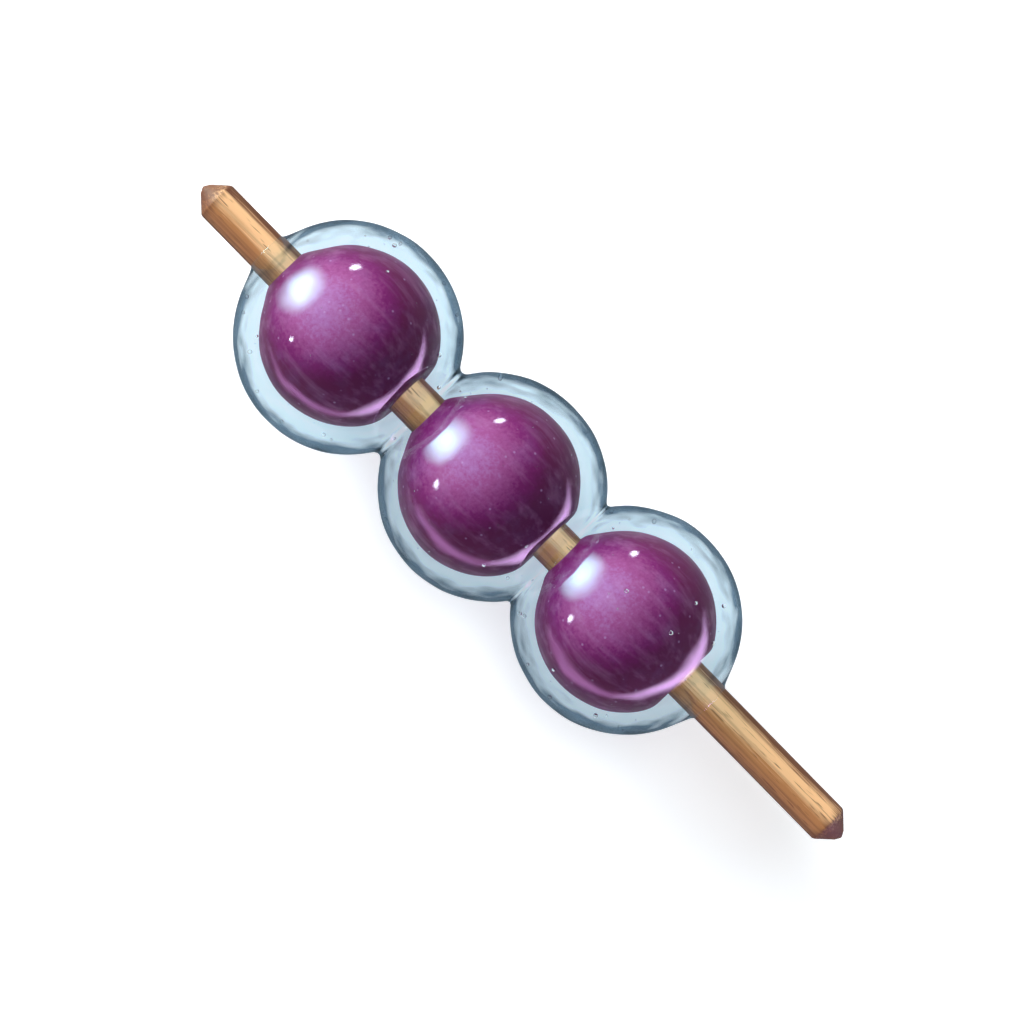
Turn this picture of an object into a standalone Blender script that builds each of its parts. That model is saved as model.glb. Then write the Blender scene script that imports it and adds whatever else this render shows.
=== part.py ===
"""Candied grape skewer: three grapes on a round wooden skewer, sealed in one thick shell of clear sugar.

The skewer lies along X, its tip at -X and its handle at +X. The shell has a lobe round each grape, and each
lobe rests on a small flat foot in the XY plane. Units are metres, +Z is up, and the origin is the middle of the
object's footprint.
"""

import math
from dataclasses import dataclass

import bmesh
import bpy
from mathutils import Vector

MM = 0.001

# The wooden skewer, a dowel with the same short point at both ends.
SKEWER_LENGTH = 120.0 * MM
SKEWER_RADIUS = 2.85 * MM
POINT_LENGTH = 2.6 * MM
POINT_TIP_RADIUS = 0.45 * MM
POINT_ROUNDING = 0.3 * MM
SKEWER_SIDES = 24

# The sugar.
FOOT_DEPTH = 0.5 * MM  # how far each lobe is cut back where it rests
COLLAR_RADIUS = SKEWER_RADIUS + 0.8 * MM  # the sugar's edge where the skewer comes out
COLLAR_REACH = 0.5 * MM  # how far that edge runs past the end of the lobe
COLLAR_FILLET = 1.6 * MM
LOBE_STEPS = 13
SHELL_BEVEL_RESOLUTION = 16  # a ring of 36 sides

CLEARANCE = 0.3 * MM  # the gap that touching pieces keep
WELD = 0.01 * MM  # points nearer than this become one
GRAPE_SEGMENTS = 24
GRAPE_RINGS = 14
SHARP_OVER_DEG = 35  # edges that bend more than this stay sharp


@dataclass(frozen=True)
class Grape:
    """A grape and the lobe of sugar round it. The distances along run from the skewer's tip, and those aside
    and up run from the skewer's axis, along Y and Z."""

    name: str
    along: float
    aside: float
    up: float
    radii: tuple
    lobe_along: float
    lobe_aside: float
    lobe_radius: float
    neck_fillet: float  # the sugar drawn into the notch before the next lobe


GRAPES = (
    Grape("grape_tip", 27.6 * MM, 0.0, 0.2 * MM, (11.4 * MM, 11.25 * MM, 11.3 * MM),
          27.6 * MM, -0.3 * MM, 15.4 * MM, 3.6 * MM),
    Grape("grape_middle", 54.4 * MM, -0.6 * MM, -0.1 * MM, (11.2 * MM, 11.45 * MM, 11.35 * MM),
          54.9 * MM, -0.6 * MM, 15.2 * MM, 1.2 * MM),
    Grape("grape_handle", 79.8 * MM, -0.4 * MM, 0.0, (11.25 * MM, 11.3 * MM, 11.2 * MM),
          79.7 * MM, -0.2 * MM, 15.25 * MM, COLLAR_FILLET),
)

TIP_X = -SKEWER_LENGTH / 2
LOWEST_Y = min(grape.lobe_aside - grape.lobe_radius for grape in GRAPES)
HIGHEST_Y = max(grape.lobe_aside + grape.lobe_radius for grape in GRAPES)
SKEWER_Y = -(LOWEST_Y + HIGHEST_Y) / 2  # centres the footprint on the origin
SKEWER_Z = sum(grape.lobe_radius for grape in GRAPES) / len(GRAPES) - FOOT_DEPTH


def clear_scene():
    for obj in list(bpy.data.objects):
        bpy.data.objects.remove(obj, do_unlink=True)


def new_collection(name):
    collection = bpy.data.collections.new(name)
    bpy.context.scene.collection.children.link(collection)
    return collection


def new_material(name, colour, roughness, transmission=0.0):
    material = bpy.data.materials.new(name)
    material.use_nodes = True
    shader = material.node_tree.nodes["Principled BSDF"]
    shader.inputs["Base Color"].default_value = (*colour, 1.0)
    shader.inputs["Roughness"].default_value = roughness
    shader.inputs["Metallic"].default_value = 0.0
    shader.inputs["Transmission Weight"].default_value = transmission
    material.diffuse_color = (*colour, 1.0)
    return material


def add_object(name, data, collection, material=None):
    obj = bpy.data.objects.new(name, data)
    collection.objects.link(obj)
    if material:
        data.materials.append(material)
    return obj


def make_cutter(obj):
    obj.hide_render = True
    obj.display_type = "WIRE"
    return obj


def subtract(obj, cutter):
    cut = obj.modifiers.new(f"less_{cutter.name}", "BOOLEAN")
    cut.operation = "DIFFERENCE"
    cut.solver = "EXACT"
    cut.object = cutter


def mesh_from_bmesh(name, shape):
    mesh = bpy.data.meshes.new(name)
    shape.to_mesh(mesh)
    shape.free()
    return mesh


def smooth(mesh):
    mesh.shade_smooth()
    mesh.set_sharp_from_angle(angle=math.radians(SHARP_OVER_DEG))


def skewer_profile():
    """The dowel's outer side from its top point to its bottom point, as (radius, height)."""
    end = SKEWER_LENGTH / 2
    top = (
        (0.0, end),
        (POINT_TIP_RADIUS, end - POINT_ROUNDING),
        (SKEWER_RADIUS, end - POINT_LENGTH),
    )
    return top + tuple((radius, -height) for radius, height in reversed(top))


def make_skewer(collection, material):
    """A turned dowel. Its profile stands along Z, and the object is laid over so that its top points along +X."""
    points = skewer_profile()
    mesh = bpy.data.meshes.new("skewer")
    edges = [(i, i + 1) for i in range(len(points) - 1)]
    mesh.from_pydata([(radius, 0.0, height) for radius, height in points], edges, [])
    skewer = add_object("skewer", mesh, collection, material)
    skewer.location = (0.0, SKEWER_Y, SKEWER_Z)
    skewer.rotation_euler = (0.0, math.pi / 2, 0.0)
    turn = skewer.modifiers.new("turn", "SCREW")
    turn.axis = "Z"
    turn.angle = 2 * math.pi
    turn.steps = SKEWER_SIDES
    turn.render_steps = SKEWER_SIDES
    turn.use_merge_vertices = True
    turn.merge_threshold = WELD
    return skewer


def make_skewer_cutter(collection):
    """The hole for the skewer, which runs right through every grape and out of both ends of the shell."""
    shape = bmesh.new()
    bmesh.ops.create_cone(
        shape,
        cap_ends=True,
        segments=SKEWER_SIDES,
        radius1=SKEWER_RADIUS + CLEARANCE,
        radius2=SKEWER_RADIUS + CLEARANCE,
        depth=SKEWER_LENGTH,
    )
    cutter = add_object("skewer_hole", mesh_from_bmesh("skewer_hole", shape), collection)
    cutter.location = (0.0, SKEWER_Y, SKEWER_Z)
    cutter.rotation_euler = (0.0, math.pi / 2, 0.0)
    return make_cutter(cutter)


def ellipsoid(name, radii, margin):
    """A sphere whose poles lie along X, stretched to the radii with a margin added to each."""
    shape = bmesh.new()
    bmesh.ops.create_uvsphere(shape, u_segments=GRAPE_SEGMENTS, v_segments=GRAPE_RINGS, radius=1.0)
    for vertex in shape.verts:
        x, y, z = vertex.co
        vertex.co = Vector((
            z * (radii[0] + margin),
            y * (radii[1] + margin),
            -x * (radii[2] + margin),
        ))
    return mesh_from_bmesh(name, shape)


def grape_middle_point(grape):
    return (TIP_X + grape.along, SKEWER_Y + grape.aside, SKEWER_Z + grape.up)


def make_grape(grape, skewer_cutter, collection, material):
    obj = add_object(grape.name, ellipsoid(grape.name, grape.radii, 0.0), collection, material)
    obj.location = grape_middle_point(grape)
    subtract(obj, skewer_cutter)
    smooth(obj.data)
    return obj


def make_grape_cutter(grape, collection):
    """The hollow that the grape fills in the sugar."""
    name = f"{grape.name}_hollow"
    cutter = add_object(name, ellipsoid(name, grape.radii, CLEARANCE), collection)
    cutter.location = grape_middle_point(grape)
    return make_cutter(cutter)


def smooth_max(a, b, width):
    """The larger of two heights, with their corner filled over the given width."""
    overlap = max(width - abs(a - b), 0.0) / width
    return max(a, b) + overlap * overlap * width / 4


def lobe_height(grape, along):
    """Half the width of the grape's lobe at a distance along the skewer."""
    return math.sqrt(max(grape.lobe_radius**2 - (along - grape.lobe_along) ** 2, 0.0))


def shell_radius(along):
    """Half the shell's width: the lobes, with sugar drawn into the notches and up the skewer."""
    height = lobe_height(GRAPES[0], along)
    for grape, following in zip(GRAPES, GRAPES[1:]):
        height = smooth_max(height, lobe_height(following, along), grape.neck_fillet)
    return smooth_max(height, COLLAR_RADIUS, COLLAR_FILLET)


def shell_middle(along, stations):
    """The shell's middle line eases from each (along, aside, up) station to the next."""
    for (start, *low), (end, *high) in zip(stations, stations[1:]):
        if along <= end:
            share = max(along - start, 0.0) / (end - start)
            ease = (1 - math.cos(math.pi * share)) / 2
            return [a + (b - a) * ease for a, b in zip(low, high)]
    return stations[-1][1:]


def neck_along(grape, following):
    """Where the surfaces of two neighbouring lobes cross."""
    apart = following.lobe_along - grape.lobe_along
    lean = (grape.lobe_radius**2 - following.lobe_radius**2) / (2 * apart)
    return grape.lobe_along + apart / 2 + lean


def shell_stations():
    """Distances along the shell, at even angles round each lobe, so that its facets are even too."""
    first, last = GRAPES[0], GRAPES[-1]
    shell_start = first.lobe_along - first.lobe_radius
    shell_end = last.lobe_along + last.lobe_radius
    necks = [neck_along(a, b) for a, b in zip(GRAPES, GRAPES[1:])]
    bounds = [shell_start, *necks, shell_end]
    found = [shell_start - COLLAR_REACH]
    for grape, low, high in zip(GRAPES, bounds, bounds[1:]):
        from_angle = math.acos(max((grape.lobe_along - low) / grape.lobe_radius, -1.0))
        to_angle = math.acos(max((grape.lobe_along - high) / grape.lobe_radius, -1.0))
        for step in range(LOBE_STEPS):
            angle = from_angle + (to_angle - from_angle) * step / LOBE_STEPS
            found.append(grape.lobe_along - grape.lobe_radius * math.cos(angle))
    return [*found, shell_end, shell_end + COLLAR_REACH]


def make_shell_curve():
    """The shell's outer form as a curve along the skewer, each of whose points carries the shell's radius."""
    stations = shell_stations()
    middle = [(stations[0], 0.0, 0.0)]
    for grape in GRAPES:
        middle.append((grape.lobe_along, grape.lobe_aside, grape.lobe_radius - FOOT_DEPTH - SKEWER_Z))
    middle.append((stations[-1], 0.0, 0.0))
    curve = bpy.data.curves.new("shell_curve", "CURVE")
    curve.dimensions = "3D"
    curve.bevel_depth = 1.0
    curve.bevel_resolution = SHELL_BEVEL_RESOLUTION
    curve.use_fill_caps = True
    spline = curve.splines.new("POLY")
    spline.points.add(len(stations) - 1)
    for point, along in zip(spline.points, stations):
        aside, up = shell_middle(along, middle)
        point.co = (TIP_X + along, SKEWER_Y + aside, SKEWER_Z + up, 1.0)
        point.radius = shell_radius(along)
    return bpy.data.objects.new("shell_curve", curve)


def mesh_object_from_curve(curve_object, name, collection, material):
    """A plain mesh of the curve with its caps joined on, which takes the curve's place."""
    bpy.context.scene.collection.objects.link(curve_object)
    evaluated = curve_object.evaluated_get(bpy.context.evaluated_depsgraph_get())
    mesh = bpy.data.meshes.new_from_object(evaluated)
    mesh.name = name
    shape = bmesh.new()
    shape.from_mesh(mesh)
    bmesh.ops.remove_doubles(shape, verts=shape.verts, dist=WELD)
    shape.to_mesh(mesh)
    shape.free()
    obj = add_object(name, mesh, collection, material)
    obj.matrix_world = curve_object.matrix_world
    bpy.data.objects.remove(curve_object, do_unlink=True)
    return obj


def make_floor_cutter(collection):
    """The space under the XY plane, which cuts the flat foot of each lobe."""
    shape = bmesh.new()
    bmesh.ops.create_cube(shape, size=SKEWER_LENGTH)
    cutter = add_object("floor", mesh_from_bmesh("floor", shape), collection)
    cutter.location = (0.0, 0.0, -SKEWER_LENGTH / 2)
    return make_cutter(cutter)


def make_sugar_shell(cutters, collection, material):
    shell = mesh_object_from_curve(make_shell_curve(), "sugar_shell", collection, material)
    for cutter in cutters:
        subtract(shell, cutter)
    smooth(shell.data)
    return shell


def main():
    clear_scene()
    parts = new_collection("candied_grape_skewer")
    cutters = new_collection("cutters")

    wood = new_material("birch_wood", (0.72, 0.46, 0.24), 0.6)
    grape_skin = new_material("grape_skin", (0.22, 0.06, 0.2), 0.35)
    clear_sugar = new_material("clear_sugar", (0.76, 0.88, 0.93), 0.03, transmission=1.0)

    skewer_cutter = make_skewer_cutter(cutters)
    shell_cutters = [skewer_cutter, make_floor_cutter(cutters)]
    make_skewer(parts, wood)
    for grape in GRAPES:
        make_grape(grape, skewer_cutter, parts, grape_skin)
        shell_cutters.append(make_grape_cutter(grape, cutters))
    make_sugar_shell(shell_cutters, parts, clear_sugar)


main()
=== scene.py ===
"""The looks of a candied grape skewer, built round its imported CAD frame.

Whole grapes are threaded on a turned birch skewer and sealed in one clear shell of boiled sugar. The
skewer lies along X with its tip at -X, and each lobe of sugar rests on the floor at z = 0. Sizes are in
metres, and patterns are scaled in millimetres.
"""

import logging
import math
from collections.abc import Callable, Sequence
from dataclasses import dataclass, field, replace
from enum import Enum
from functools import partial

import bmesh
import bpy
import numpy as np
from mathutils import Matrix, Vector, noise


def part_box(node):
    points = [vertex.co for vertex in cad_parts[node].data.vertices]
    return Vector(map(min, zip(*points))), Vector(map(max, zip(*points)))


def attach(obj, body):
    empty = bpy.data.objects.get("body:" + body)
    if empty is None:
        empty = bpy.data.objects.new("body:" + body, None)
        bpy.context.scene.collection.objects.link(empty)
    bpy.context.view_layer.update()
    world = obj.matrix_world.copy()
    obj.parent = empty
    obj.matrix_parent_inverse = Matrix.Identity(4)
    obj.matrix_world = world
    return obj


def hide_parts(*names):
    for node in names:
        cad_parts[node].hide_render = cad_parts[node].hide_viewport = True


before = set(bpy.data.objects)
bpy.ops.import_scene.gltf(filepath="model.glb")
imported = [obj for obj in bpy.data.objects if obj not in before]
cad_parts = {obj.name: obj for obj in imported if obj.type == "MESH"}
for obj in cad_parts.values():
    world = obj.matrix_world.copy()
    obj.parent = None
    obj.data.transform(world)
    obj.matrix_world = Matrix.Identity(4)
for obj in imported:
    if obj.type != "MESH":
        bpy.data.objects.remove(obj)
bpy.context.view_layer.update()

MM = 0.001
BODY = "root"
log = logging.getLogger("candied_grapes")

# The kinds of node that most recipes and finishes use.
MATH = "ShaderNodeMath"
VECTOR_MATH = "ShaderNodeVectorMath"
MAP_RANGE = "ShaderNodeMapRange"
NOISE = "ShaderNodeTexNoise"
MIX = "ShaderNodeMix"

Socket = bpy.types.NodeSocket
Node = bpy.types.Node
Tree = bpy.types.NodeTree
Piece = bpy.types.Object
AddNode = Callable[..., Node]


class Slot(Enum):
    """The record's material slots."""

    WOOD = "birch_wood"
    SKIN = "grape_skin"
    SUGAR = "clear_sugar"


# --------------------
# Small tools


def linear(hex_colour: str) -> tuple[float, float, float, float]:
    """Turns an sRGB hex colour into the linear colour that shaders take.

    Args:
        hex_colour: The colour, such as "#8b4b85".

    Returns:
        Red, green, blue and a full alpha.
    """
    digits = hex_colour.lstrip("#")
    channels = [int(digits[i:i + 2], 16) / 255 for i in (0, 2, 4)]
    red, green, blue = (c / 12.92 if c <= 0.04045 else ((c + 0.055) / 1.055) ** 2.4 for c in channels)
    return red, green, blue, 1.0


def add_node(
    tree: Tree, kind: str, inputs: dict | None = None, stops: dict[float, str] | None = None, **settings
) -> Node:
    """Adds one node, sets it up and links it.

    Args:
        tree: The tree that gets the node.
        kind: The node's Blender type.
        inputs: What each input gets, by its name or number: a value, a hex colour, an output socket, or a
            node, whose first output in use is then linked.
        stops: A colour ramp's hex colours, by their places.
        settings: The node's own properties, such as operation="MULTIPLY".

    Returns:
        The new node.
    """
    node = tree.nodes.new(kind)
    for name, value in settings.items():
        setattr(node, name, value)
    for name, value in (inputs or {}).items():
        socket = node.inputs[name] if isinstance(name, int) else next(
            s for s in node.inputs if s.name == name and s.enabled
        )
        if isinstance(value, Node):
            value = next(s for s in value.outputs if s.enabled)
        if isinstance(value, Socket):
            tree.links.new(value, socket)
        else:
            is_colour = isinstance(value, str) and value.startswith("#")
            socket.default_value = linear(value) if is_colour else value
    if stops:
        elements = node.color_ramp.elements
        while len(elements) < len(stops):
            elements.new(1.0)
        for element, (place, colour) in zip(elements, stops.items()):
            element.position = place
            element.color = linear(colour)
    return node


def start_nodes(owner: bpy.types.ID) -> AddNode:
    """Gives a material, a lamp or the world an empty node tree.

    Args:
        owner: The material, lamp or world.

    Returns:
        What adds a node to the tree.
    """
    owner.use_nodes = True
    owner.node_tree.nodes.clear()
    return partial(add_node, owner.node_tree)


def smooth_step(low: float, high: float, value: np.ndarray | float) -> np.ndarray:
    """Eases from 0 at low to 1 at high."""
    share = np.clip((np.asarray(value, float) - low) / (high - low), 0.0, 1.0)
    return share * share * (3 - 2 * share)


def smooth_max(a: np.ndarray | float, b: np.ndarray | float, width: float) -> np.ndarray:
    """The larger of two heights, with the corner where they meet filled over the given width."""
    overlap = np.maximum(width - np.abs(np.asarray(a) - b), 0.0) / width
    return np.maximum(a, b) + overlap * overlap * width / 4


def unevenness(points: np.ndarray, pitch: float, seed: int) -> np.ndarray:
    """Soft random heights over a set of points.

    Args:
        points: The points, as rows of x, y and z.
        pitch: The usual distance from one rise to the next.
        seed: Picks another pattern.

    Returns:
        One height from about -1 to 1 for each point.
    """
    shift = Vector((17.3 * seed, -9.1 * seed, 5.7 * seed))
    return np.array([noise.noise(Vector(p) / pitch + shift) for p in points])


def ring(x: float, y: float, z: float, wide: float, high: float, sides: int) -> np.ndarray:
    """An oval ring of points round a line along X.

    Args:
        x: Where the ring stands on X.
        y: Its middle across.
        z: Its middle's height.
        wide: Half its width.
        high: Half its height.
        sides: How many points it has.

    Returns:
        The points, as rows of x, y and z.
    """
    turn = np.linspace(0.0, 2 * math.pi, sides, endpoint=False)
    return np.stack([np.full(sides, x), y + wide * np.cos(turn), z + high * np.sin(turn)], axis=1)


def show(name: str, data: bpy.types.ID) -> Piece:
    """Puts a new object in the scene.

    Args:
        name: The object's name.
        data: Its mesh, lamp or camera.

    Returns:
        The object.
    """
    shown = bpy.data.objects.new(name, data)
    bpy.context.scene.collection.objects.link(shown)
    return shown


def loft(name: str, rings: Sequence[np.ndarray]) -> Piece:
    """Joins rings of points into one closed skin, the last ring to the first.

    Args:
        name: The new object's name.
        rings: Rings with equal counts of points, in order along the piece.

    Returns:
        A smooth mesh object at the origin, with its faces pointing out.
    """
    sides, count = len(rings[0]), len(rings)
    corner = np.arange(count * sides).reshape(count, sides)
    after, beside = np.roll(corner, -1, axis=0), np.roll(corner, -1, axis=1)
    faces = np.stack([corner, beside, np.roll(after, -1, axis=1), after], axis=-1).reshape(-1, 4)
    mesh = bpy.data.meshes.new(name)
    mesh.from_pydata(np.concatenate(rings).tolist(), [], faces.tolist())
    shape = bmesh.new()
    shape.from_mesh(mesh)
    bmesh.ops.recalc_face_normals(shape, faces=shape.faces)
    shape.to_mesh(mesh)
    shape.free()
    mesh.shade_smooth()
    return show(name, mesh)


def place(piece: Piece, slot: Slot, *nodes: str) -> Piece:
    """Hands a finished piece to the frame.

    Args:
        piece: The piece, in its place.
        slot: The record's material slot, which is named in the log.
        nodes: The CAD nodes that it stands for.

    Returns:
        The same piece.
    """
    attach(piece, BODY)
    if nodes:
        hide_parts(*nodes)
    log.info("%s: %d faces of %s", piece.name, len(piece.data.polygons), slot.value)
    return piece


@dataclass
class Recipe:
    """A Geometry Nodes tree with named inputs, which is run once and kept as a plain mesh."""

    name: str
    inputs: dict[str, object]
    tree: Tree = field(init=False)
    given: Node = field(init=False)

    def __post_init__(self) -> None:
        """Starts the tree and gives it an input of the right kind for each value."""
        kinds = {int: "Int", float: "Float", Vector: "Vector", bpy.types.Material: "Material"}
        self.tree = bpy.data.node_groups.new(self.name, "GeometryNodeTree")
        for label, value in self.inputs.items():
            kind = f"NodeSocket{kinds[type(value)]}"
            self.tree.interface.new_socket(label, in_out="INPUT", socket_type=kind)
        self.tree.interface.new_socket("Geometry", in_out="OUTPUT", socket_type="NodeSocketGeometry")
        self.given = self.tree.nodes.new("NodeGroupInput")

    def add(self, kind: str, inputs: dict | None = None, **settings) -> Node:
        """Adds a node to the tree."""
        return add_node(self.tree, kind, inputs, **settings)

    def take(self, label: str) -> Socket:
        """One of the named inputs."""
        return self.given.outputs[label]

    def make(self, geometry: Node) -> Piece:
        """Ends the tree in real faces with the recipe's material, and runs it.

        Args:
            geometry: The node that the shape comes from.

        Returns:
            A smooth mesh object at the origin, with no modifier.
        """
        real = self.add("GeometryNodeRealizeInstances", {0: geometry})
        dressed = self.add("GeometryNodeSetMaterial", {0: real, "Material": self.take("Material")})
        self.add("NodeGroupOutput", {0: dressed})
        piece = show(self.name, bpy.data.meshes.new(self.name))
        modifier = piece.modifiers.new("recipe", "NODES")
        modifier.node_group = self.tree
        for socket in self.tree.interface.items_tree:
            if socket.in_out == "INPUT":
                modifier[socket.identifier] = self.inputs[socket.name]
        evaluated = piece.evaluated_get(bpy.context.evaluated_depsgraph_get())
        mesh = bpy.data.meshes.new_from_object(evaluated)
        piece.modifiers.remove(modifier)
        piece.data = mesh
        mesh.name = self.name
        mesh.shade_smooth()
        return piece


# --------------------
# Finishes


@dataclass(frozen=True)
class Finish:
    """What a surface is made of, and how it was made."""

    name: str

    def material(self) -> bpy.types.Material:
        """Builds the finish.

        Returns:
            The material.
        """
        material = bpy.data.materials.new(self.name)
        add = start_nodes(material)
        shaders = {"Surface": self.surface(add)}
        depth = self.volume(add)
        if depth:
            shaders["Volume"] = depth
        add("ShaderNodeOutputMaterial", shaders)
        return material

    def surface(self, add: AddNode) -> Node:
        """Builds the surface's shader."""
        raise NotImplementedError

    def volume(self, add: AddNode) -> Node | None:
        """Builds the shader of what is under the surface, where it's clear."""
        return None

    @staticmethod
    def millimetres(add: AddNode, middle: Vector) -> Node:
        """Object coordinates in millimetres, counted from a point on the piece.

        Args:
            add: Adds a node to the material.
            middle: The point, in metres.

        Returns:
            The node.
        """
        source = add("ShaderNodeTexCoord").outputs["Object"]
        return add("ShaderNodeMapping", {"Vector": source, "Location": -middle / MM, "Scale": (1 / MM,) * 3})

    @staticmethod
    def open_to_lamps(add: AddNode, shader: Node, tint: str) -> Node:
        """Lets lamps shine through a clear piece onto what is sealed inside it.

        Args:
            add: Adds a node to the material.
            shader: The clear piece's shader.
            tint: The hex colour that lamplight takes on.

        Returns:
            The node.
        """
        path = add("ShaderNodeLightPath")
        clear = add("ShaderNodeBsdfTransparent", {"Color": tint})
        return add("ShaderNodeMixShader", {0: path.outputs["Is Shadow Ray"], 1: shader, 2: clear})


@dataclass(frozen=True)
class BoiledSugar(Finish):
    """Hard-crack sugar glass, dipped and set: a brittle, glossy skin over a clear body with a cold cast.

    Sugar glass bends light as window glass does (n = 1.5), which would swell each grape until it filled
    its lobe. The body has a lower number, so that the clear rim shows, and a coat near 1.5 gives the
    gloss. Where the surface is seen edge on, its colour is painted slate: painted shade that stands in for
    the dark rim that real glass shows by bending light. Near the stick, where the sugar is thin, it isn't
    painted.
    """

    axis: Vector
    body_ior: float = 1.06
    gloss_ior: float = 1.53
    gloss_roughness: float = 0.06
    clear: str = "#f7fcfe"
    slanted: str = "#e2f1f6"
    # The slate is a painted dark edge, painted shade for the dark rim that glass shows edge on.
    edge: str = "#34495c"
    depth_tint: str = "#7cc4d6"
    depth_density: float = 20.0  # per metre

    def surface(self, add: AddNode) -> Node:
        """Builds the surface's shader.

        Args:
            add: Adds a node to the material.

        Returns:
            The shader.
        """
        at = self.millimetres(add, self.axis)
        # The sugar ran a little as it set, which left shallow waves about 4 mm apart.
        waves = add(NOISE, {"Vector": at, "Scale": 1 / 4, "Detail": 1.0, "Roughness": 0.35})
        steep = add("ShaderNodeBump", {"Height": waves, "Distance": 0.6 * MM})
        facing = add("ShaderNodeLayerWeight", {"Blend": 0.5, "Normal": steep}).outputs["Facing"]
        across = add(VECTOR_MATH, {0: at, 1: (0.0, 1.0, 1.0)}, operation="MULTIPLY")
        off_axis = add(VECTOR_MATH, {0: across}, operation="LENGTH")
        thick = add(
            MAP_RANGE, {"Value": off_axis, "From Min": 4.0, "From Max": 8.0},
            interpolation_type="SMOOTHSTEP",
        )
        # Painted dark edge: the colour turns slate where the surface is seen edge on, away from the stick.
        painted_edge_share = add(MATH, {0: facing, 1: thick}, operation="MULTIPLY")
        colour = add(
            "ShaderNodeValToRGB", {"Fac": painted_edge_share},
            stops={0.2: self.clear, 0.5: self.slanted, 0.7: self.edge},
        )
        relief = add("ShaderNodeBump", {"Height": waves, "Strength": thick, "Distance": 0.06 * MM})
        shader = add("ShaderNodeBsdfPrincipled", {
            "Base Color": colour,
            "Roughness": 0.0,
            "IOR": self.body_ior,
            "Transmission Weight": 1.0,
            "Coat Weight": 1.0,
            "Coat IOR": self.gloss_ior,
            "Coat Roughness": self.gloss_roughness,
            "Normal": relief,
            "Coat Normal": relief,
        })
        return self.open_to_lamps(add, shader, self.clear)

    def volume(self, add: AddNode) -> Node:
        """Builds the body, whose cold cast deepens where the sugar is thick."""
        return add("ShaderNodeVolumeAbsorption", {"Color": self.depth_tint, "Density": self.depth_density})


@dataclass(frozen=True)
class GrapeSkin(Finish):
    """The tight, waxy skin of a purple table grape.

    It is a deep plum in soft patches, with painted light and painted shade: lighter and rosier on the side
    that faces the lamps, darker away from it. It has faint pale veins from end to end and tiny pale pores,
    under a thin lavender wax bloom that was partly rubbed off.
    """

    middle: Vector
    seed: int
    painted_light_side: Vector
    # The darkest tone is painted shade and the lightest is painted light; the two between are the skin's
    # plum.
    painted_shade_plum: str = "#6a1a4c"
    deep: str = "#7f2265"
    ripe_and_painted_light: str = "#a4508a"
    painted_light_mauve: str = "#b072ae"
    vein: str = "#c487b4"
    bloom: str = "#a890c8"
    pore: str = "#c39acb"
    patchiness: float = 0.22
    speckling: float = 0.5
    pattern_step: float = 61.0  # mm from one grape's part of each pattern to the next one's

    def surface(self, add: AddNode) -> Node:
        """Builds the surface's shader.

        Args:
            add: Adds a node to the material.

        Returns:
            The shader.
        """
        at = self.millimetres(add, self.middle)
        own_part = (self.pattern_step * self.seed,) * 3
        own = add(VECTOR_MATH, {0: at, 1: own_part}, operation="ADD")
        # Painted light and painted shade: the skin is painted lighter and rosier on the side that faces the
        # lamps and darker away from it.
        way = add(VECTOR_MATH, {0: at}, operation="NORMALIZE")
        facing_painted_light = add(VECTOR_MATH, {0: way, 1: self.painted_light_side}, operation="DOT_PRODUCT")
        painted_light_range = {"Value": facing_painted_light, "From Min": 0.55, "From Max": 1.0, "To Min": -0.33, "To Max": 0.57}
        painted_light_share = add(MAP_RANGE, painted_light_range)
        # It ripened in soft patches about 7 mm across, with the pigment in specks of half a millimetre.
        patches = add(NOISE, {"Vector": own, "Scale": 1 / 7, "Detail": 4.0, "Roughness": 0.6})
        specks = add(NOISE, {"Vector": own, "Scale": 1.8, "Detail": 3.0, "Roughness": 0.7})
        ripe_and_painted_light = add(MATH, {0: patches, 1: self.patchiness, 2: painted_light_share}, operation="MULTIPLY_ADD")
        speckled = add(MATH, {0: specks, 1: self.speckling, 2: ripe_and_painted_light}, operation="MULTIPLY_ADD")
        # The ramp runs from a painted shade tone, through the skin's plum, to a painted light tone.
        colour = add(
            "ShaderNodeValToRGB", {"Fac": speckled},
            stops={0.1: self.painted_shade_plum, 0.44: self.deep, 0.78: self.ripe_and_painted_light, 1.0: self.painted_light_mauve},
        )
        # Veins under the skin run from end to end, about 1.5 mm apart.
        along = add("ShaderNodeMapping", {"Vector": own, "Scale": (0.06, 0.65, 0.65)})
        veins = add(NOISE, {"Vector": along, "Scale": 1.0, "Detail": 3.0, "Roughness": 0.6})
        vein_share = {"Value": veins, "From Min": 0.48, "From Max": 0.7, "To Max": 0.22}
        # Pores are 0.1 mm dots, drawn at 0.3 mm to show, about 1.8 mm apart.
        pores = add("ShaderNodeTexVoronoi", {"Vector": own, "Scale": 1 / 1.8})
        pore_share = {"Value": pores.outputs["Distance"], "From Min": 0.12, "From Max": 0.05, "To Max": 0.45}
        # The bloom was rubbed off in places as the grape was washed, in smears a few millimetres across.
        wax = add(NOISE, {"Vector": own, "Scale": 1 / 3.5, "Detail": 5.0, "Roughness": 0.65})
        wax_share = {"Value": wax, "From Min": 0.5, "From Max": 0.78, "To Max": 0.12}
        for share, mark in ((vein_share, self.vein), (pore_share, self.pore), (wax_share, self.bloom)):
            factor = add(MAP_RANGE, share)
            colour = add(MIX, {"Factor": factor, "A": colour, "B": mark}, data_type="RGBA")
        dulling = {"Value": wax, "From Min": 0.3, "From Max": 0.7, "To Min": 0.4, "To Max": 0.6}
        relief = add("ShaderNodeBump", {"Height": wax, "Strength": 0.15, "Distance": 0.1 * MM})
        return add("ShaderNodeBsdfPrincipled", {
            "Base Color": colour,
            "Roughness": add(MAP_RANGE, dulling),
            "Specular IOR Level": 0.1,
            "Subsurface Weight": 0.12,
            "Subsurface Radius": (1.0, 0.35, 0.7),
            "Subsurface Scale": 1.5 * MM,
            "Normal": relief,
        })


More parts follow.
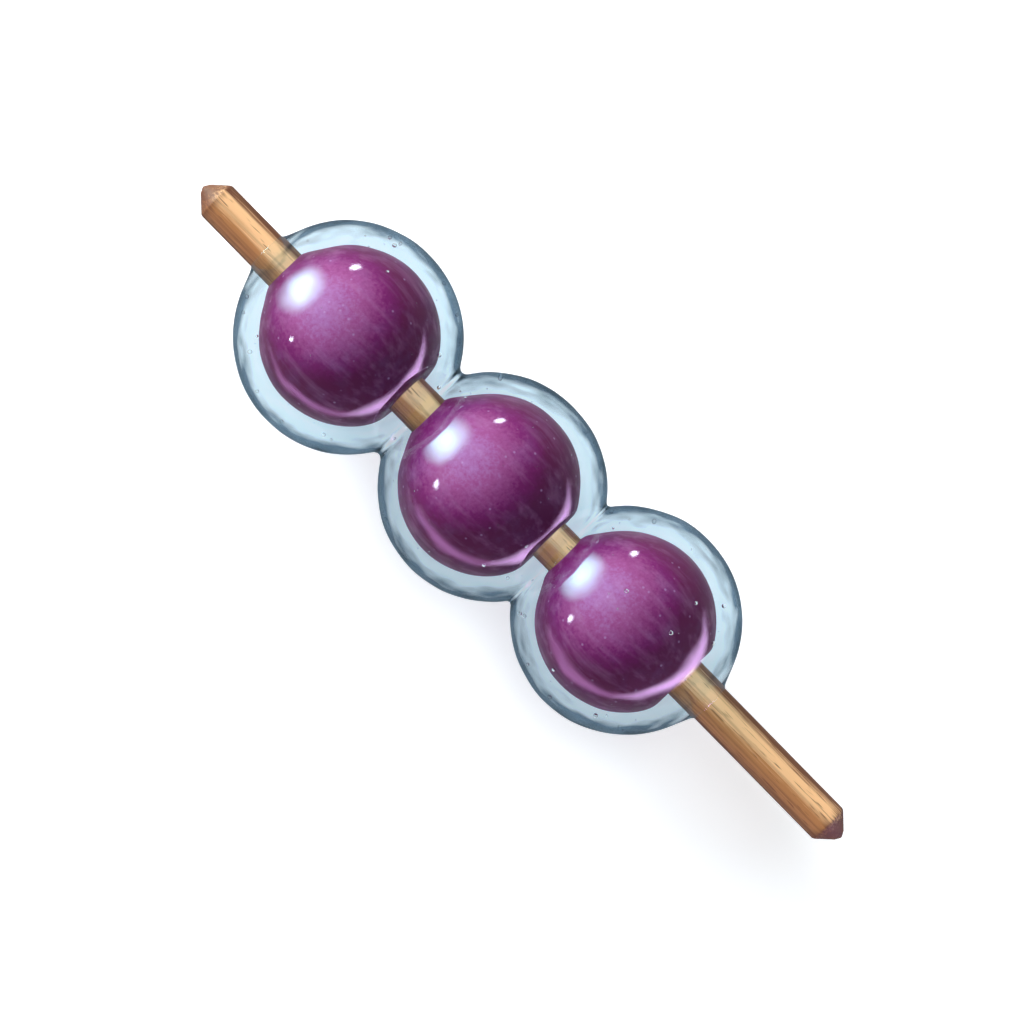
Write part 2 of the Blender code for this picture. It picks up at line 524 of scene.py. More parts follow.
@dataclass(frozen=True)
class TurnedBirch(Finish):
    """Birch dowel, turned and left bare: straight fibres, short brown pores and scorched brown points.

    It is painted darker on one side and paler on the other, as painted shade and painted light, and both
    flanks are painted dark brown as painted shade.
    browned.
    """

    middle: Vector
    radius: float
    half_length: float
    sapwood_and_painted_light: str = "#fdcd97"
    heartwood_and_painted_shade: str = "#c08552"
    painted_flank_shade: str = "#75492f"
    pore: str = "#74482e"
    point: str = "#6c4230"
    fibre_share: float = 0.5
    band_share: float = 0.4
    scorch_creep: float = 6.0  # mm that it creeps farther along some fibres than others
    scorch_reach: float = 4.0  # mm from the tip that it reaches on a middling fibre
    scorch_full: float = 1.6  # mm from the tip that it's full

    def surface(self, add: AddNode) -> Node:
        """Builds the surface's shader.

        Args:
            add: Adds a node to the material.

        Returns:
            The shader.
        """
        at = self.millimetres(add, self.middle)
        across = add("ShaderNodeSeparateXYZ", {0: at})
        # Fibres are 0.02 mm wide, drawn at 0.3 mm to show.
        fibre_way = add("ShaderNodeMapping", {"Vector": at, "Scale": (1 / 16, 3.0, 3.0)})
        fibres = add(NOISE, {"Vector": fibre_way, "Scale": 1.0, "Detail": 5.0, "Roughness": 0.7})
        # Heartwood and pale outer wood lie in uneven bands, under 2 mm wide and several centimetres long.
        band_way = add("ShaderNodeMapping", {"Vector": at, "Scale": (1 / 45, 0.6, 0.6)})
        bands = add(NOISE, {"Vector": band_way, "Scale": 1.0, "Detail": 3.0})
        # Painted light and painted shade: the wood is painted paler towards +Y and darker towards -Y, as the
        # lamps light it.
        side = add(MAP_RANGE, {
            "Value": across.outputs["Y"],
            "From Min": -self.radius / MM,
            "From Max": self.radius / MM,
            "To Min": -0.38,
            "To Max": 0.58,
        })
        # This grain carries the painted side shade as well as the fibres.
        grain = add(MATH, {0: fibres, 1: self.fibre_share, 2: side}, operation="MULTIPLY_ADD")
        tone = add(MATH, {0: bands, 1: self.band_share, 2: grain}, operation="MULTIPLY_ADD")
        # The dark brown at both ends of the ramp is painted shade on the flanks.
        colour = add("ShaderNodeValToRGB", {"Fac": tone}, stops={
            0.08: self.painted_flank_shade,
            0.24: self.heartwood_and_painted_shade,
            0.42: self.heartwood_and_painted_shade,
            0.56: self.sapwood_and_painted_light,
            0.82: self.sapwood_and_painted_light,
            0.97: self.painted_flank_shade,
        })
        # Growth rings stand 1.2 mm apart round a heart about 11 mm off, each ending in a thin dark line.
        ring_way = add(
            "ShaderNodeMapping", {"Vector": at, "Location": (0.0, 9.0, 6.0), "Scale": (0.06, 1.0, 1.0)}
        )
        rings = add(
            "ShaderNodeTexWave",
            {"Vector": ring_way, "Scale": 0.26, "Distortion": 1.6, "Detail": 2.0, "Detail Scale": 2.0},
            wave_type="RINGS",
        )
        ring_share = {"Value": rings.outputs["Fac"], "From Min": 0.8, "From Max": 1.0, "To Max": 0.3}
        # Birch pores show as short brown dashes, 0.1 mm wide and a few millimetres long, drawn at 0.3 mm.
        pore_way = add("ShaderNodeMapping", {"Vector": at, "Scale": (0.3, 3.4, 3.4)})
        pores = add(NOISE, {"Vector": pore_way, "Scale": 1.0, "Detail": 1.0})
        pore_share = {"Value": pores, "From Min": 0.63, "From Max": 0.72, "To Max": 0.7}
        for share in (ring_share, pore_share):
            factor = add(MAP_RANGE, share)
            colour = add(MIX, {"Factor": factor, "A": colour, "B": self.pore}, data_type="RGBA")
        # The scorch creeps up from each point, farther along some fibres than others.
        reach = add(MATH, {0: across.outputs["X"]}, operation="ABSOLUTE")
        crept = add(MATH, {0: fibres, 1: self.scorch_creep, 2: reach}, operation="MULTIPLY_ADD")
        end = self.half_length / MM + self.scorch_creep / 2
        scorched = add(MAP_RANGE, {
            "Value": crept,
            "From Min": end - self.scorch_reach,
            "From Max": end - self.scorch_full,
            "To Max": 0.92,
        }, interpolation_type="SMOOTHSTEP")
        colour = add(MIX, {"Factor": scorched, "A": colour, "B": self.point}, data_type="RGBA")
        dulling = {"Value": fibres, "From Min": 0.3, "From Max": 0.7, "To Min": 0.65, "To Max": 0.5}
        relief = add("ShaderNodeBump", {"Height": fibres, "Strength": 0.35, "Distance": 0.12 * MM})
        return add("ShaderNodeBsdfPrincipled", {
            "Base Color": colour,
            "Roughness": add(MAP_RANGE, dulling),
            "Specular IOR Level": 0.3,
            "Normal": relief,
        })


@dataclass(frozen=True)
class TrappedAir(Finish):
    """Air in set sugar. Lamplight in the sugar bounces off the bubble's wall, so its rim sparkles."""

    name: str = "air_trapped_in_sugar"
    ior: float = 0.75  # below 1, as air is when seen from inside the sugar

    def surface(self, add: AddNode) -> Node:
        """Builds the surface's shader."""
        shader = add("ShaderNodeBsdfPrincipled", {
            "Base Color": "#ffffff",
            "Roughness": 0.0,
            "IOR": self.ior,
            "Transmission Weight": 1.0,
        })
        return self.open_to_lamps(add, shader, "#ffffff")


@dataclass(frozen=True)
class LightTable(Finish):
    """White acrylic, lit from below, so that shadows on it stay light."""

    name: str = "light_table_acrylic"
    colour: str = "#e4e6e8"
    glow: float = 0.85

    def surface(self, add: AddNode) -> Node:
        """Builds the surface's shader."""
        return add("ShaderNodeBsdfPrincipled", {
            "Base Color": self.colour,
            "Roughness": 0.8,
            "Specular IOR Level": 0.1,
            "Emission Color": self.colour,
            "Emission Strength": self.glow,
        })


# --------------------
# Pieces


@dataclass
class Skewer:
    """The turned stick, sized by its CAD node."""

    node: str = "skewer"
    point_length: float = 2.6 * MM
    nose_radius: float = 0.45 * MM
    shoulder: float = 0.12  # share of the radius over which it curves
    groove_depth: float = 0.06 * MM
    stations: int = 260
    sides: int = 96
    crowding: float = 0.86  # 0 spaces the stations evenly
    low: Vector = field(init=False)
    high: Vector = field(init=False)

    def __post_init__(self) -> None:
        """Reads the stick's box from the frame."""
        self.low, self.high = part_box(self.node)

    @property
    def middle(self) -> Vector:
        """The middle of the stick."""
        return (self.low + self.high) / 2

    @property
    def length(self) -> float:
        """The stick's length."""
        return self.high.x - self.low.x

    @property
    def radius(self) -> float:
        """The stick's radius."""
        return (self.high.y - self.low.y) / 2

    def build(self) -> Piece:
        """Turns the dowel, cuts its points and opens its grain.

        Returns:
            The stick.
        """
        finish = TurnedBirch("birch_dowel_turned_bare", self.middle, self.radius, self.length / 2)
        recipe = Recipe("skewer_stick", {
            "Start": Vector((self.low.x, self.middle.y, self.middle.z)),
            "Length": self.length,
            "Radius": self.radius,
            "Point Length": self.point_length,
            "Nose Radius": self.nose_radius,
            "Shoulder": self.shoulder,
            "Groove Depth": self.groove_depth,
            "Crowding": self.crowding,
            "Stations": self.stations,
            "Sides": self.sides,
            "Material": finish.material(),
        })
        take, add = recipe.take, recipe.add

        # Stations crowd towards both ends, where the points need them.
        line = add(
            "GeometryNodeCurvePrimitiveLine",
            {"Start": take("Start"), "Direction": (1.0, 0.0, 0.0), "Length": take("Length")},
            mode="DIRECTION",
        )
        even = add("GeometryNodeResampleCurve", {"Curve": line, "Count": take("Stations")})
        share = add("GeometryNodeSplineParameter").outputs["Factor"]
        turn = add(MATH, {0: share, 1: 2 * math.pi}, operation="MULTIPLY")
        wave = add(MATH, {0: turn}, operation="SINE")
        pull = add(MATH, {0: take("Crowding"), 1: -1 / (2 * math.pi)}, operation="MULTIPLY")
        crowded = add(MATH, {0: wave, 1: pull, 2: share}, operation="MULTIPLY_ADD")
        along = add(MATH, {0: crowded, 1: take("Length")}, operation="MULTIPLY")
        step = add("ShaderNodeCombineXYZ", {"X": along})
        station = add(VECTOR_MATH, {0: step, 1: take("Start")}, operation="ADD")
        spine = add("GeometryNodeSetPosition", {"Geometry": even, "Position": station})

        # Each point runs up from a round nose to a soft shoulder.
        here = add("GeometryNodeInputPosition")
        from_start = add(VECTOR_MATH, {0: here, 1: take("Start")}, operation="SUBTRACT")
        reach = add("ShaderNodeSeparateXYZ", {0: from_start}).outputs["X"]
        left = add(MATH, {0: take("Length"), 1: reach}, operation="SUBTRACT")
        nearest = add(MATH, {0: reach, 1: left}, operation="MINIMUM")
        nose = add(MATH, {0: take("Nose Radius"), 1: take("Radius")}, operation="DIVIDE")
        sloping = {"Value": nearest, "From Max": take("Point Length"), "To Min": nose}
        slope = add(MAP_RANGE, sloping, clamp=False)
        point = add(MATH, {0: slope, 1: 1.0, 2: take("Shoulder")}, operation="SMOOTH_MIN")
        round_off = add(MAP_RANGE, {"Value": nearest, "From Max": take("Nose Radius")})
        rounded = add(MATH, {0: round_off, 1: 0.5}, operation="POWER")
        profile = add(MATH, {0: point, 1: rounded}, operation="MULTIPLY")
        circle = add(
            "GeometryNodeCurvePrimitiveCircle", {"Resolution": take("Sides"), "Radius": take("Radius")}
        )
        swept = {"Curve": spine, "Profile Curve": circle, "Scale": profile, "Fill Caps": True}
        skin = add("GeometryNodeCurveToMesh", swept)

        # Turning left grooves between the fibres, a few hundredths of a millimetre deep and 0.4 mm apart.
        fibre_way = add(VECTOR_MATH, {0: here, 1: (60.0, 2400.0, 2400.0)}, operation="MULTIPLY")
        grain = add(NOISE, {"Vector": fibre_way, "Scale": 1.0, "Detail": 2.0})
        sunk = add(MATH, {0: grain, 1: take("Groove Depth")}, operation="MULTIPLY")
        inwards = add(MATH, {0: sunk, 1: -1.0}, operation="MULTIPLY")
        outwards = add("GeometryNodeInputNormal")
        offset = add(VECTOR_MATH, {0: outwards, "Scale": inwards}, operation="SCALE")
        stick = recipe.make(add("GeometryNodeSetPosition", {"Geometry": skin, "Offset": offset}))
        return place(stick, Slot.WOOD, self.node)


@dataclass
class Grape:
    """One grape. The skewer's tip went in at +X, where the skin dips, and out at -X, where it bulges."""

    node: str
    stick: Skewer
    seed: int
    sides: int = 128
    rings: int = 112
    dip: float = 0.9 * MM
    bulge: float = 0.45 * MM
    dip_width: float = 1.7 * MM  # from the stick to where dip and bulge have mostly faded
    puckers: int = 9
    pucker_share: float = 0.02
    swell: float = 0.12 * MM
    swell_pitch: float = 9.0 * MM
    bore_slack: float = 0.15 * MM  # how far the skin's ends lie inside the stick
    drawn_in: float = 5.0 * MM  # how far from the stick the skin is drawn to the stick's own middle
    crowding: float = 0.06
    middle: Vector = field(init=False)
    radii: tuple[float, float, float] = field(init=False)

    def __post_init__(self) -> None:
        """Reads the grape's box. Its hole takes both ends off the box, and they are worked back in."""
        low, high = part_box(self.node)
        half = (high - low) / 2
        self.middle = (low + high) / 2
        hole_share = self.stick.radius / half.y
        self.radii = (half.x / math.sqrt(1 - hole_share**2), half.y, half.z)

    def skin_rings(self, grow: float = 0.0) -> list[np.ndarray]:
        """Rings over the grape's skin from its -X end to its +X end, each round the stick at its ends.

        Args:
            grow: How far outside the skin the rings lie.

        Returns:
            The rings.
        """
        bore = self.stick.radius - self.bore_slack
        rx, ry, rz = (r + grow for r in self.radii)
        first = math.asin(bore / ry)
        steps = np.linspace(0.0, 1.0, self.rings)
        # Rings crowd at both ends, where the skin is pulled in, and round the middle.
        angles = first + (math.pi - 2 * first) * (steps - self.crowding * np.sin(4 * math.pi * steps))
        axis = self.stick.middle
        turn = np.linspace(0.0, 2 * math.pi, self.sides, endpoint=False)
        found = []
        for angle in angles:
            wide = math.sin(angle)
            off_hole = wide * ry - bore
            pull = math.exp(-((off_hole / self.dip_width) ** 2))
            free = float(smooth_step(0.0, self.drawn_in, off_hole))
            x = self.middle.x - rx * math.cos(angle)
            x -= (self.bulge if angle < math.pi / 2 else self.dip) * pull
            y = axis.y + (self.middle.y - axis.y) * free
            z = axis.z + (self.middle.z - axis.z) * free
            band = ring(x, y, z, wide * ry, wide * rz, self.sides)
            pucker = 1 + self.pucker_share * pull * free * np.sin(self.puckers * turn + self.seed)
            band[:, 1:] = (y, z) + (band[:, 1:] - (y, z)) * pucker[:, None]
            found.append(band)
        points = np.concatenate(found)
        outwards = points - np.array(self.middle)
        outwards /= np.linalg.norm(outwards, axis=1)[:, None]
        points += outwards * (unevenness(points, self.swell_pitch, self.seed) * self.swell)[:, None]
        return list(points.reshape(len(found), self.sides, 3))

    def build(self, painted_light_side: Vector) -> Piece:
        """Makes and places the grape.

        Args:
            painted_light_side: The way that its painted light faces; its painted shade lies away from it.

        Returns:
            The grape.
        """
        grape = loft(f"{self.node}_fruit", self.skin_rings())
        finish = GrapeSkin(f"{self.node}_skin_waxy", self.middle, self.seed, painted_light_side)
        grape.data.materials.append(finish.material())
        return place(grape, Slot.SKIN, self.node)


@dataclass(frozen=True)
class Swells:
    """Soft rises and falls over the sugar."""

    share: float
    pitch: float
    seed: int

    def over(self, points: np.ndarray) -> np.ndarray:
        """Their height at each point."""
        return self.share * unevenness(points, self.pitch, self.seed)


@dataclass
class SugarShell:
    """The sugar: a lobe round each grape, drawn into the notches between them and up the stick."""

    grapes: list[Grape]
    stick: Skewer
    node: str = "sugar_shell"
    thickness: tuple[float, ...] = (4.1 * MM, 3.8 * MM, 4.0 * MM)
    shift_x: tuple[float, ...] = (0.0, 0.5 * MM, -0.1 * MM)
    shift_y: tuple[float, ...] = (-0.3 * MM, 0.0, 0.2 * MM)
    neck_fillets: tuple[float, ...] = (3.6 * MM, 1.2 * MM)
    foot_depth: float = 0.5 * MM  # how much of each lobe is cut off for its foot
    foot_edge: float = 0.35 * MM
    collar: float = 0.25 * MM
    collar_fillet: float = 2.6 * MM
    creep: float = 0.5 * MM
    ripple: float = 0.13 * MM
    swells: Swells = Swells(share=0.7, pitch=8.0 * MM, seed=3)
    dimples: Swells = Swells(share=0.5, pitch=3.2 * MM, seed=5)
    sunk: float = 0.75  # share of the ripple that both are sunk by
    ripple_reach: float = 3.0 * MM  # from the stick to where the ripple is at its full height
    overlap: float = 0.1 * MM  # how far the sugar laps into the grapes and the stick
    stations_per_lobe: int = 64
    collar_stations: int = 9

    @property
    def lobes(self) -> list[tuple[Vector, float]]:
        """Where the lobes are.

        Returns:
            Each lobe's middle and radius.
        """
        found = []
        for grape, thick, dx, dy in zip(self.grapes, self.thickness, self.shift_x, self.shift_y):
            radius = (grape.radii[1] + grape.radii[2]) / 2 + thick
            middle = Vector((grape.middle.x + dx, grape.middle.y + dy, radius - self.foot_depth))
            found.append((middle, radius))
        return found

    def radius_at(self, x: float) -> float:
        """Half the shell's width, with its notches and collars filled.

        Args:
            x: A place along the stick.

        Returns:
            The radius there.
        """
        heights = [math.sqrt(max(radius**2 - (x - middle.x) ** 2, 0.0)) for middle, radius in self.lobes]
        found = heights[0]
        for height, fillet in zip(heights[1:], self.neck_fillets):
            found = float(smooth_max(found, height, fillet))
        return float(smooth_max(found, self.stick.radius + self.collar, self.collar_fillet))

    def middle_at(self, x: float) -> tuple[float, float]:
        """The shell's middle line, eased from the stick to each lobe and back.

        Args:
            x: A place along the stick.

        Returns:
            The line's y and z there.
        """
        lobes, axis = self.lobes, self.stick.middle
        stops = [(lobes[0][0].x - lobes[0][1], axis.y, axis.z)]
        stops += [tuple(middle) for middle, _ in lobes]
        stops.append((lobes[-1][0].x + lobes[-1][1], axis.y, axis.z))
        for (x0, *low), (x1, *high) in zip(stops, stops[1:]):
            if x <= x1:
                ease = float(smooth_step(x0, x1, x))
                return low[0] + (high[0] - low[0]) * ease, low[1] + (high[1] - low[1]) * ease
        return axis.y, axis.z

    def stations(self) -> list[float]:
        """Spaces the rings at even angles round each lobe.

        Returns:
            Places along the stick.
        """
        lobes = self.lobes
        notches = []  # where the surfaces of two lobes cross
        for (a, ra), (b, rb) in zip(lobes, lobes[1:]):
            apart = b.x - a.x
            notches.append(a.x + apart / 2 + (ra**2 - rb**2) / (2 * apart))
        bounds = [lobes[0][0].x - lobes[0][1], *notches, lobes[-1][0].x + lobes[-1][1]]
        found = []
        for (middle, radius), low, high in zip(lobes, bounds, bounds[1:]):
            first, last = (math.acos(min(max((middle.x - x) / radius, -1.0), 1.0)) for x in (low, high))
            for angle in np.linspace(first, last, self.stations_per_lobe, endpoint=False):
                found.append(middle.x - radius * math.cos(angle))
        return [*found, bounds[-1]]

    def profile(self) -> list[tuple[float, float]]:
        """The shell's outline. Each collar thins out onto the stick.

        Returns:
            Places along the stick, each with the shell's radius there.
        """
        body = [(x, self.radius_at(x)) for x in self.stations()]
        low = self.stick.radius - self.overlap
        ends = []
        for side, (x, radius) in ((-1, body[0]), (1, body[-1])):
            ends.append([
                (x + side * self.creep * share, low + (radius - low) * (1 - share) ** 2)
                for share in np.linspace(0.0, 1.0, self.collar_stations + 1)[1:]
            ])
        return [*reversed(ends[0]), *body, *ends[1]]

    def outer_rings(self) -> list[np.ndarray]:
        """Rings over the outside of the sugar.

        Returns:
            The rings, from the collar at -X to the collar at +X.
        """
        sides = self.grapes[0].sides
        profile = self.profile()
        middles = [self.middle_at(x) for x, _ in profile]
        points = np.concatenate([
            ring(x, y, z, radius, radius, sides) for (x, radius), (y, z) in zip(profile, middles)
        ])
        spine = np.array([(x, *middle) for (x, _), middle in zip(profile, middles)]).repeat(sides, axis=0)
        across = points - spine
        reach = np.linalg.norm(across, axis=1)
        free = smooth_step(self.stick.radius, self.stick.radius + self.ripple_reach, reach)
        # The sugar set in slow swells and small dimples, sunk so that they stay inside the plain form.
        height = self.swells.over(points) + self.dimples.over(points) - self.sunk
        points += across / reach[:, None] * (height * free * self.ripple)[:, None]
        # Each foot is flat on the floor, with a soft edge.
        eased = smooth_max(points[:, 2] - self.foot_edge / 4, 0.0, self.foot_edge)
        points[:, 2] = np.where(points[:, 2] < self.foot_edge, np.maximum(eased, 0.0), points[:, 2])
        return list(points.reshape(len(profile), sides, 3))

    def inner_rings(self) -> list[np.ndarray]:
        """Rings over the hollow, a hair inside the grapes and the stick.

        Returns:
            The rings, from +X back to -X.
        """
        found = []
        for grape in reversed(self.grapes):
            found += grape.skin_rings(-self.overlap)[::-2]
        return found

    def build(self) -> Piece:
        """Makes and places the sugar.

        Returns:
            The shell.
        """
        shell = loft("sugar_glass_shell", self.outer_rings() + self.inner_rings())
        finish = BoiledSugar("boiled_sugar_dipped_and_set", self.stick.middle)
        shell.data.materials.append(finish.material())
        return place(shell, Slot.SUGAR, self.node)


@dataclass
class Bubbles:
    """Air trapped in the sugar round one grape."""

    grape: Grape
    stick: Skewer
    count: int = 46
    smallest: float = 0.07 * MM
    largest: float = 0.34 * MM
    nearest: float = 0.5 * MM
    farthest: float = 2.7 * MM
    off_stick: float = 1.5 * MM
    rarity: float = 2.6  # the power that makes large ones rare

    def build(self) -> Piece:
        """Scatters and places the bubbles.

        Returns:
            The bubbles, as one piece.
        """
        skin = sum(self.grape.radii) / 3
        recipe = Recipe(f"{self.grape.node}_air_bubbles", {
            "Middle": self.grape.middle,
            "Radius": skin,
            "Density": self.count / (4 * math.pi * skin**2),
            "Smallest": self.smallest,
            "Largest": self.largest,
            "Nearest": self.nearest,
            "Farthest": self.farthest,
            "Keep Off": self.stick.radius + self.off_stick,
            "Rarity": self.rarity,
            "Seed": self.grape.seed,
            "Material": TrappedAir().material(),
        })
        take, add = recipe.take, recipe.add

        # Points on a ball as large as the grape are lifted into the sugar, each to a depth of its own.
        ball = add("GeometryNodeMeshIcoSphere", {"Radius": take("Radius"), "Subdivisions": 4})
        scatter = add(
            "GeometryNodeDistributePointsOnFaces",
            {"Mesh": ball, "Density": take("Density"), "Seed": take("Seed")},
        )
        depths = {"Min": take("Nearest"), "Max": take("Farthest"), "Seed": take("Seed")}
        depth = add("FunctionNodeRandomValue", depths)
        lift = add(VECTOR_MATH, {0: scatter.outputs["Normal"], "Scale": depth}, operation="SCALE")
        shift = add(VECTOR_MATH, {0: lift, 1: take("Middle")}, operation="ADD")
        moved = add("GeometryNodeSetPosition", {"Geometry": scatter.outputs["Points"], "Offset": shift})

        # None touches the stick. One draw gives both depth and size, so the largest lie farthest out.
        here = add("GeometryNodeInputPosition")
        off_middle = add(VECTOR_MATH, {0: here, 1: take("Middle")}, operation="SUBTRACT")
        across = add(VECTOR_MATH, {0: off_middle, 1: (0.0, 1.0, 1.0)}, operation="MULTIPLY")
        off_axis = add(VECTOR_MATH, {0: across}, operation="LENGTH")
        clear = add(MATH, {0: off_axis, 1: take("Keep Off")}, operation="GREATER_THAN")
        chance = add("FunctionNodeRandomValue", {"Seed": take("Seed")})
        small = add(MATH, {0: chance, 1: take("Rarity")}, operation="POWER")
        size = add(MAP_RANGE, {"Value": small, "To Min": take("Smallest"), "To Max": take("Largest")})
        bubble = add("GeometryNodeMeshIcoSphere", {"Radius": 1.0, "Subdivisions": 2})
        placed = add(
            "GeometryNodeInstanceOnPoints",
            {"Points": moved, "Selection": clear, "Instance": bubble, "Scale": size},
        )
        return place(recipe.make(placed), Slot.SUGAR)


# --------------------
# Studio


class Picks(Enum):
    """Which pieces a lamp's group picks out."""

    THESE = "INCLUDE"
    ALL_OTHERS = "EXCLUDE"


class Lights(Enum):
    """What a lamp is for."""

    SKEWER = "it lights the skewer and doesn't show in its gloss"
    FLOOR = "it lights the floor, and the skewer's shadow falls there"
    GLOSS = "it only shows in the gloss"


@dataclass(frozen=True)
class Softbox:
    """An oval lamp that fades towards its edge, as cloth over a bulb does.

    Its bearing is in degrees anticlockwise from the right of the view, as seen from above, and its height
    is in degrees above the floor.
    """

    name: str
    bearing: float
    height: float
    wide: float
    high: float
    radiance: float
    colour: str
    lights: Lights
    fade: float = 0.5  # the outer share of its radius that fades
    distance: float = 2.0


@dataclass
class Studio:
    """A light table, soft lamps, and a long lens that looks straight down on the skewer."""

    stick: Skewer
    aim_x: float = -0.95 * MM
    aim_y: float = -0.6 * MM
    slant: float = 45.55  # degrees that the skewer falls across the view
    lens: float = 135.0
    sensor: float = 36.0
    view_width: float = 134.7 * MM  # what the view covers at the stick's height
    floor_reach: float = 1.2
    lamps: tuple[Softbox, ...] = (
        # name, bearing, height, wide, high, radiance, colour, what it lights, fade
        Softbox("key_softbox", 120.0, 26.0, 1.4, 1.2, 24.5, "#fefbf8", Lights.SKEWER),
        Softbox("top_fill_softbox", 45.0, 75.0, 1.6, 1.6, 2.6, "#ffffff", Lights.SKEWER),
        Softbox("front_fill_softbox", -135.0, 18.0, 1.4, 1.0, 3.2, "#ffffff", Lights.SKEWER),
        Softbox("window_catch_lamp", 134.0, 22.0, 2.0, 1.9, 31.0, "#aeeaf6", Lights.GLOSS, fade=1.0),
        Softbox("left_catch_lamp", 180.0, 34.0, 0.3, 0.3, 40.0, "#e6f2ff", Lights.GLOSS, fade=1.0),
        Softbox("right_catch_lamp", 84.0, 20.0, 0.38, 0.32, 40.0, "#e6f2ff", Lights.GLOSS, fade=1.0),
        Softbox("rim_strip_lamp", -46.0, 9.0, 6.0, 0.72, 24.0, "#cfa6e0", Lights.GLOSS, fade=1.0),
        Softbox("left_strip_lamp", -128.0, 9.0, 5.0, 0.6, 7.0, "#d78fdc", Lights.GLOSS, fade=1.0),
        Softbox("rim_form_lamp", -46.0, 6.0, 3.0, 0.5, 1.5, "#cdb9ee", Lights.SKEWER),
    )

    @property
    def aim(self) -> Vector:
        """What the lamps and the camera are turned to."""
        return Vector((self.aim_x, self.aim_y, self.stick.middle.z))

    def direction(self, bearing: float, height: float) -> Vector:
        """The way to a lamp.

        Args:
            bearing: Degrees anticlockwise from the right of the view, as seen from above.
            height: Degrees above the floor.

        Returns:
            The way, one unit long.
        """
        turned = math.radians(bearing + self.slant)
        flat = math.cos(math.radians(height))
        return Vector((flat * math.cos(turned), flat * math.sin(turned), math.sin(math.radians(height))))

    def add_lamp(self, lamp: Softbox, floor: Piece, solid: list[Piece]) -> None:
        """Hangs one lamp, turned to the skewer, and settles what it lights.

        Args:
            lamp: The lamp.
            floor: The floor.
            solid: The pieces that no light passes through.
        """
        data = bpy.data.lights.new(lamp.name, "AREA")
        data.shape = "ELLIPSE"
        data.size, data.size_y = lamp.wide, lamp.high
        data.energy = lamp.radiance * math.pi * lamp.wide * lamp.high * math.pi / 4
        data.color = linear(lamp.colour)[:3]
        add = start_nodes(data)
        on_cloth = add("ShaderNodeNewGeometry").outputs["Parametric"]
        off_middle = add(VECTOR_MATH, {0: on_cloth, 1: (0.5, 0.5, 0.0)}, operation="DISTANCE")
        fading = {"Value": off_middle, "From Min": 0.5, "From Max": 0.5 - lamp.fade / 2}
        fade = add(MAP_RANGE, fading, interpolation_type="SMOOTHSTEP")
        glow = add("ShaderNodeEmission", {"Strength": fade})
        add("ShaderNodeOutputLight", {"Surface": glow})
        hung = show(lamp.name, data)
        way = self.direction(lamp.bearing, lamp.height)
        hung.location = self.aim + way * lamp.distance
        hung.rotation_euler = way.to_track_quat("Z", "Y").to_euler()
        hung.visible_glossy = lamp.lights is Lights.GLOSS
        hung.visible_diffuse = lamp.lights is not Lights.GLOSS
        # Set sugar carries light round the grapes, so on the skewer no piece shades another.
        if lamp.lights is not Lights.GLOSS:
            lit = Picks.THESE if lamp.lights is Lights.FLOOR else Picks.ALL_OTHERS
            hung.light_linking.receiver_collection = self.group(f"{lamp.name}_lights", [floor], lit)
        if lamp.lights is Lights.SKEWER:
            shading = self.group(f"{lamp.name}_shades", solid, Picks.ALL_OTHERS)
            hung.light_linking.blocker_collection = shading
        # Lamps already shine through the sugar as shadow rays do, so they aren't counted a second time.
        hung.visible_transmission = False
        hung.visible_camera = False

    @staticmethod
    def group(name: str, pieces: list[Piece], picks: Picks) -> bpy.types.Collection:
        """Makes a group of pieces that a lamp works on, or leaves out.

        Args:
            name: The group's name.
            pieces: The pieces.
            picks: Whether it picks out those pieces or all others.

        Returns:
            The group.
        """
        group = bpy.data.collections.new(name)
        for piece in pieces:
            group.objects.link(piece)
        for member in group.collection_objects:
            member.light_linking.link_state = picks.value
        return group

    def add_floor(self) -> Piece:
        """Lays the floor under the sugar's feet.

        Returns:
            The floor.
        """
        mesh = bpy.data.meshes.new("studio_floor")
        reach = self.floor_reach
        corners = [(-reach, -reach, 0.0), (reach, -reach, 0.0), (reach, reach, 0.0), (-reach, reach, 0.0)]
        mesh.from_pydata(corners, [], [(0, 1, 2, 3)])
        mesh.materials.append(LightTable().material())
        floor = show("studio_floor", mesh)
        floor.visible_glossy = False
        return floor

    def add_world(self) -> None:
        """Makes a white room behind the floor, dim as a light so that the lamps shape the skewer.

        The floor's own reflection would wash out the sugar's rim, so the room below it shows in the gloss.
        """
        world = bpy.data.worlds.new("studio_room")
        add = start_nodes(world)
        white = add("ShaderNodeBackground", {"Color": "#ffffff", "Strength": 1.1})
        dim = add("ShaderNodeBackground", {"Color": "#d8d8de", "Strength": 0.05})
        below = add("ShaderNodeBackground", {"Color": "#8fa9ba", "Strength": 0.5})
        way = add("ShaderNodeTexCoord").outputs["Generated"]
        height = add("ShaderNodeSeparateXYZ", {0: way}).outputs["Z"]
        drop = add(MAP_RANGE, {"Value": height, "From Max": -0.2})
        gloss = add("ShaderNodeMixShader", {0: drop, 1: dim, 2: below})
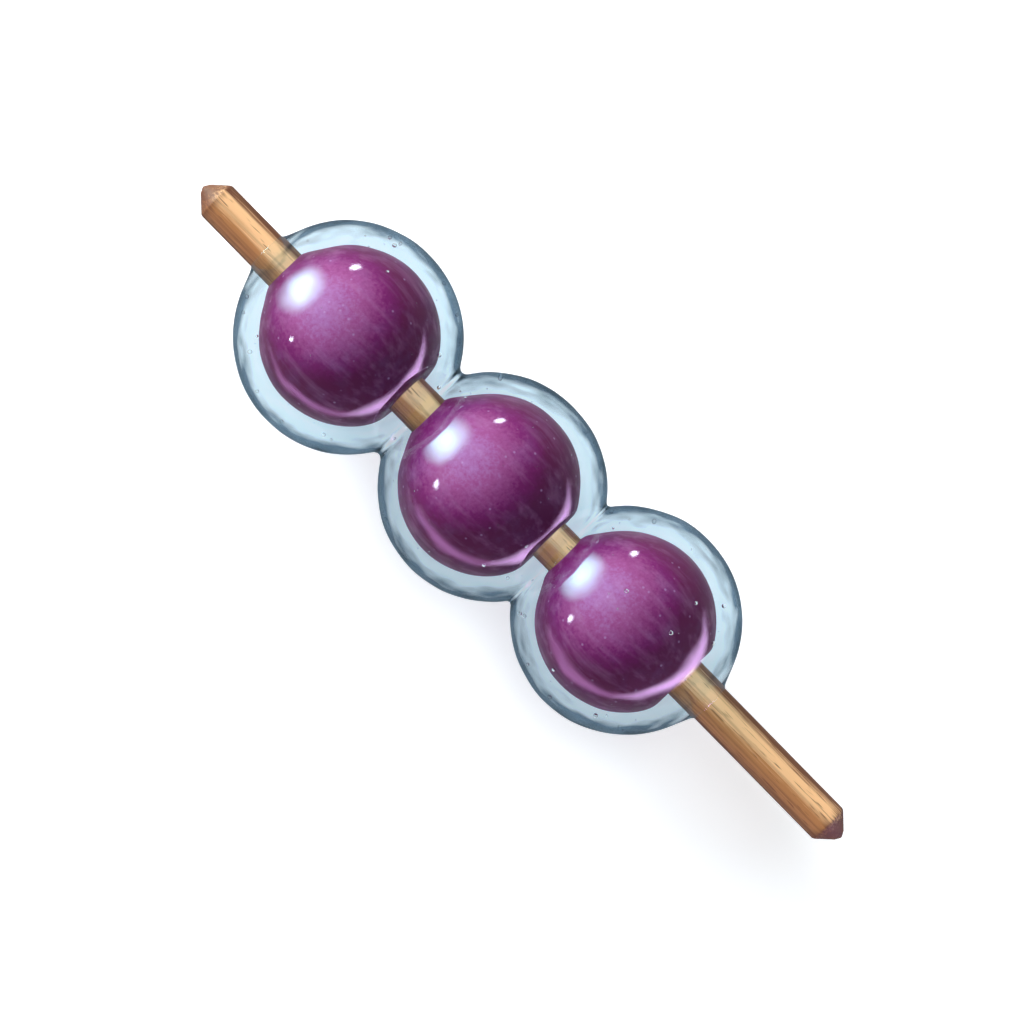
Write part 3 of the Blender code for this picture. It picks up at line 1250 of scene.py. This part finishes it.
        # It is white where the view meets it, straight or through clear sugar alone. There a ray's depth
        # is at most one more than its transmission depth.
        ray = add("ShaderNodeLightPath").outputs
        seen = add(MATH, {0: ray["Is Camera Ray"], 1: ray["Is Transmission Ray"]}, operation="MAXIMUM")
        turns = add(MATH, {0: ray["Ray Depth"], 1: ray["Transmission Depth"]}, operation="SUBTRACT")
        bounced = add(MATH, {0: turns, 1: 1.0}, operation="SUBTRACT", use_clamp=True)
        shown = add(MATH, {0: seen, 1: bounced}, operation="SUBTRACT", use_clamp=True)
        room = add("ShaderNodeMixShader", {0: shown, 1: gloss, 2: white})
        add("ShaderNodeOutputWorld", {"Surface": room})
        bpy.context.scene.world = world

    def add_camera(self) -> None:
        """Hangs the camera over the skewer."""
        data = bpy.data.cameras.new("view_camera")
        data.lens = self.lens
        data.sensor_width = self.sensor
        data.clip_end = 20.0
        camera = show("view_camera", data)
        camera.location = self.aim + Vector((0.0, 0.0, self.view_width * self.lens / self.sensor))
        camera.rotation_euler = (0.0, 0.0, math.radians(self.slant))
        bpy.context.scene.camera = camera

    def build(self, solid: list[Piece]) -> None:
        """Sets the whole studio.

        Args:
            solid: The pieces that no light passes through.
        """
        floor = self.add_floor()
        self.add_world()
        self.add_camera()
        for lamp in self.lamps:
            self.add_lamp(lamp, floor, solid)
            if lamp.lights is Lights.SKEWER:
                self.add_lamp(replace(lamp, name=f"{lamp.name}_floor", lights=Lights.FLOOR), floor, solid)
        bpy.context.scene.view_settings.view_transform = "Standard"
        log.info("studio: %d lamps", len(self.lamps))


def main() -> None:
    """Builds the skewer, its grapes, the sugar, its bubbles and the studio, in that order."""
    logging.basicConfig(level=logging.INFO, format="%(message)s")
    stick = Skewer()
    studio = Studio(stick)
    # The grapes' painted light faces this way, up and towards the key lamp; painted shade lies away from it.
    painted_light_side = studio.direction(bearing=125.0, height=66.0)
    wood = stick.build()
    names = ("grape_tip", "grape_middle", "grape_handle")
    grapes = [Grape(name, stick, seed) for seed, name in enumerate(names, 1)]
    fruit = [grape.build(painted_light_side) for grape in grapes]
    SugarShell(grapes, stick).build()
    for grape in grapes:
        Bubbles(grape, stick).build()
    studio.build([wood, *fruit])


if __name__ == "__main__":
    main()
